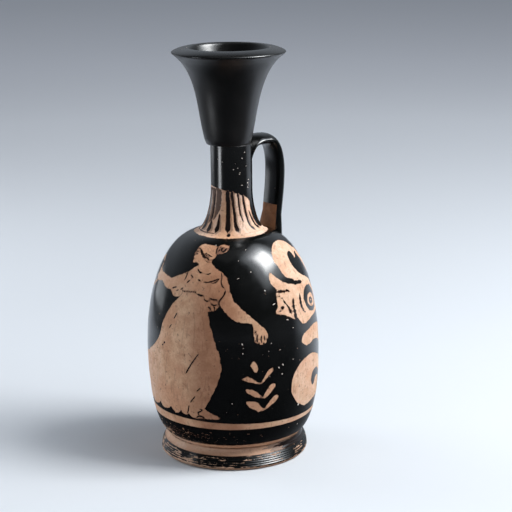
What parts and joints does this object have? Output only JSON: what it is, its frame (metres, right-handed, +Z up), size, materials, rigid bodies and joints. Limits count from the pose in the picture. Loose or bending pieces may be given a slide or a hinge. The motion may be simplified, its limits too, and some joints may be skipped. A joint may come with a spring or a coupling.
{
  "type": "squat lekythos",
  "caption": "Wheel-thrown clay oil flask with a grooved ring foot, ovoid body, slim neck, flaring mouth and one strap handle, painted in the red-figure manner.",
  "frame": {"origin": "centre of the foot's standing face, on the body's turning axis", "axes": "+Z up along the turning axis; +Y towards the handle, so that the painted scene faces -Y"},
  "size_m": [0.0806, 0.0806, 0.19],
  "materials": {
    "glazed_clay": "black gloss slip with reserved orange clay"
  },
  "bodies": {
    "root": {"vase": "glazed_clay"}
  },
  "joints": []
}
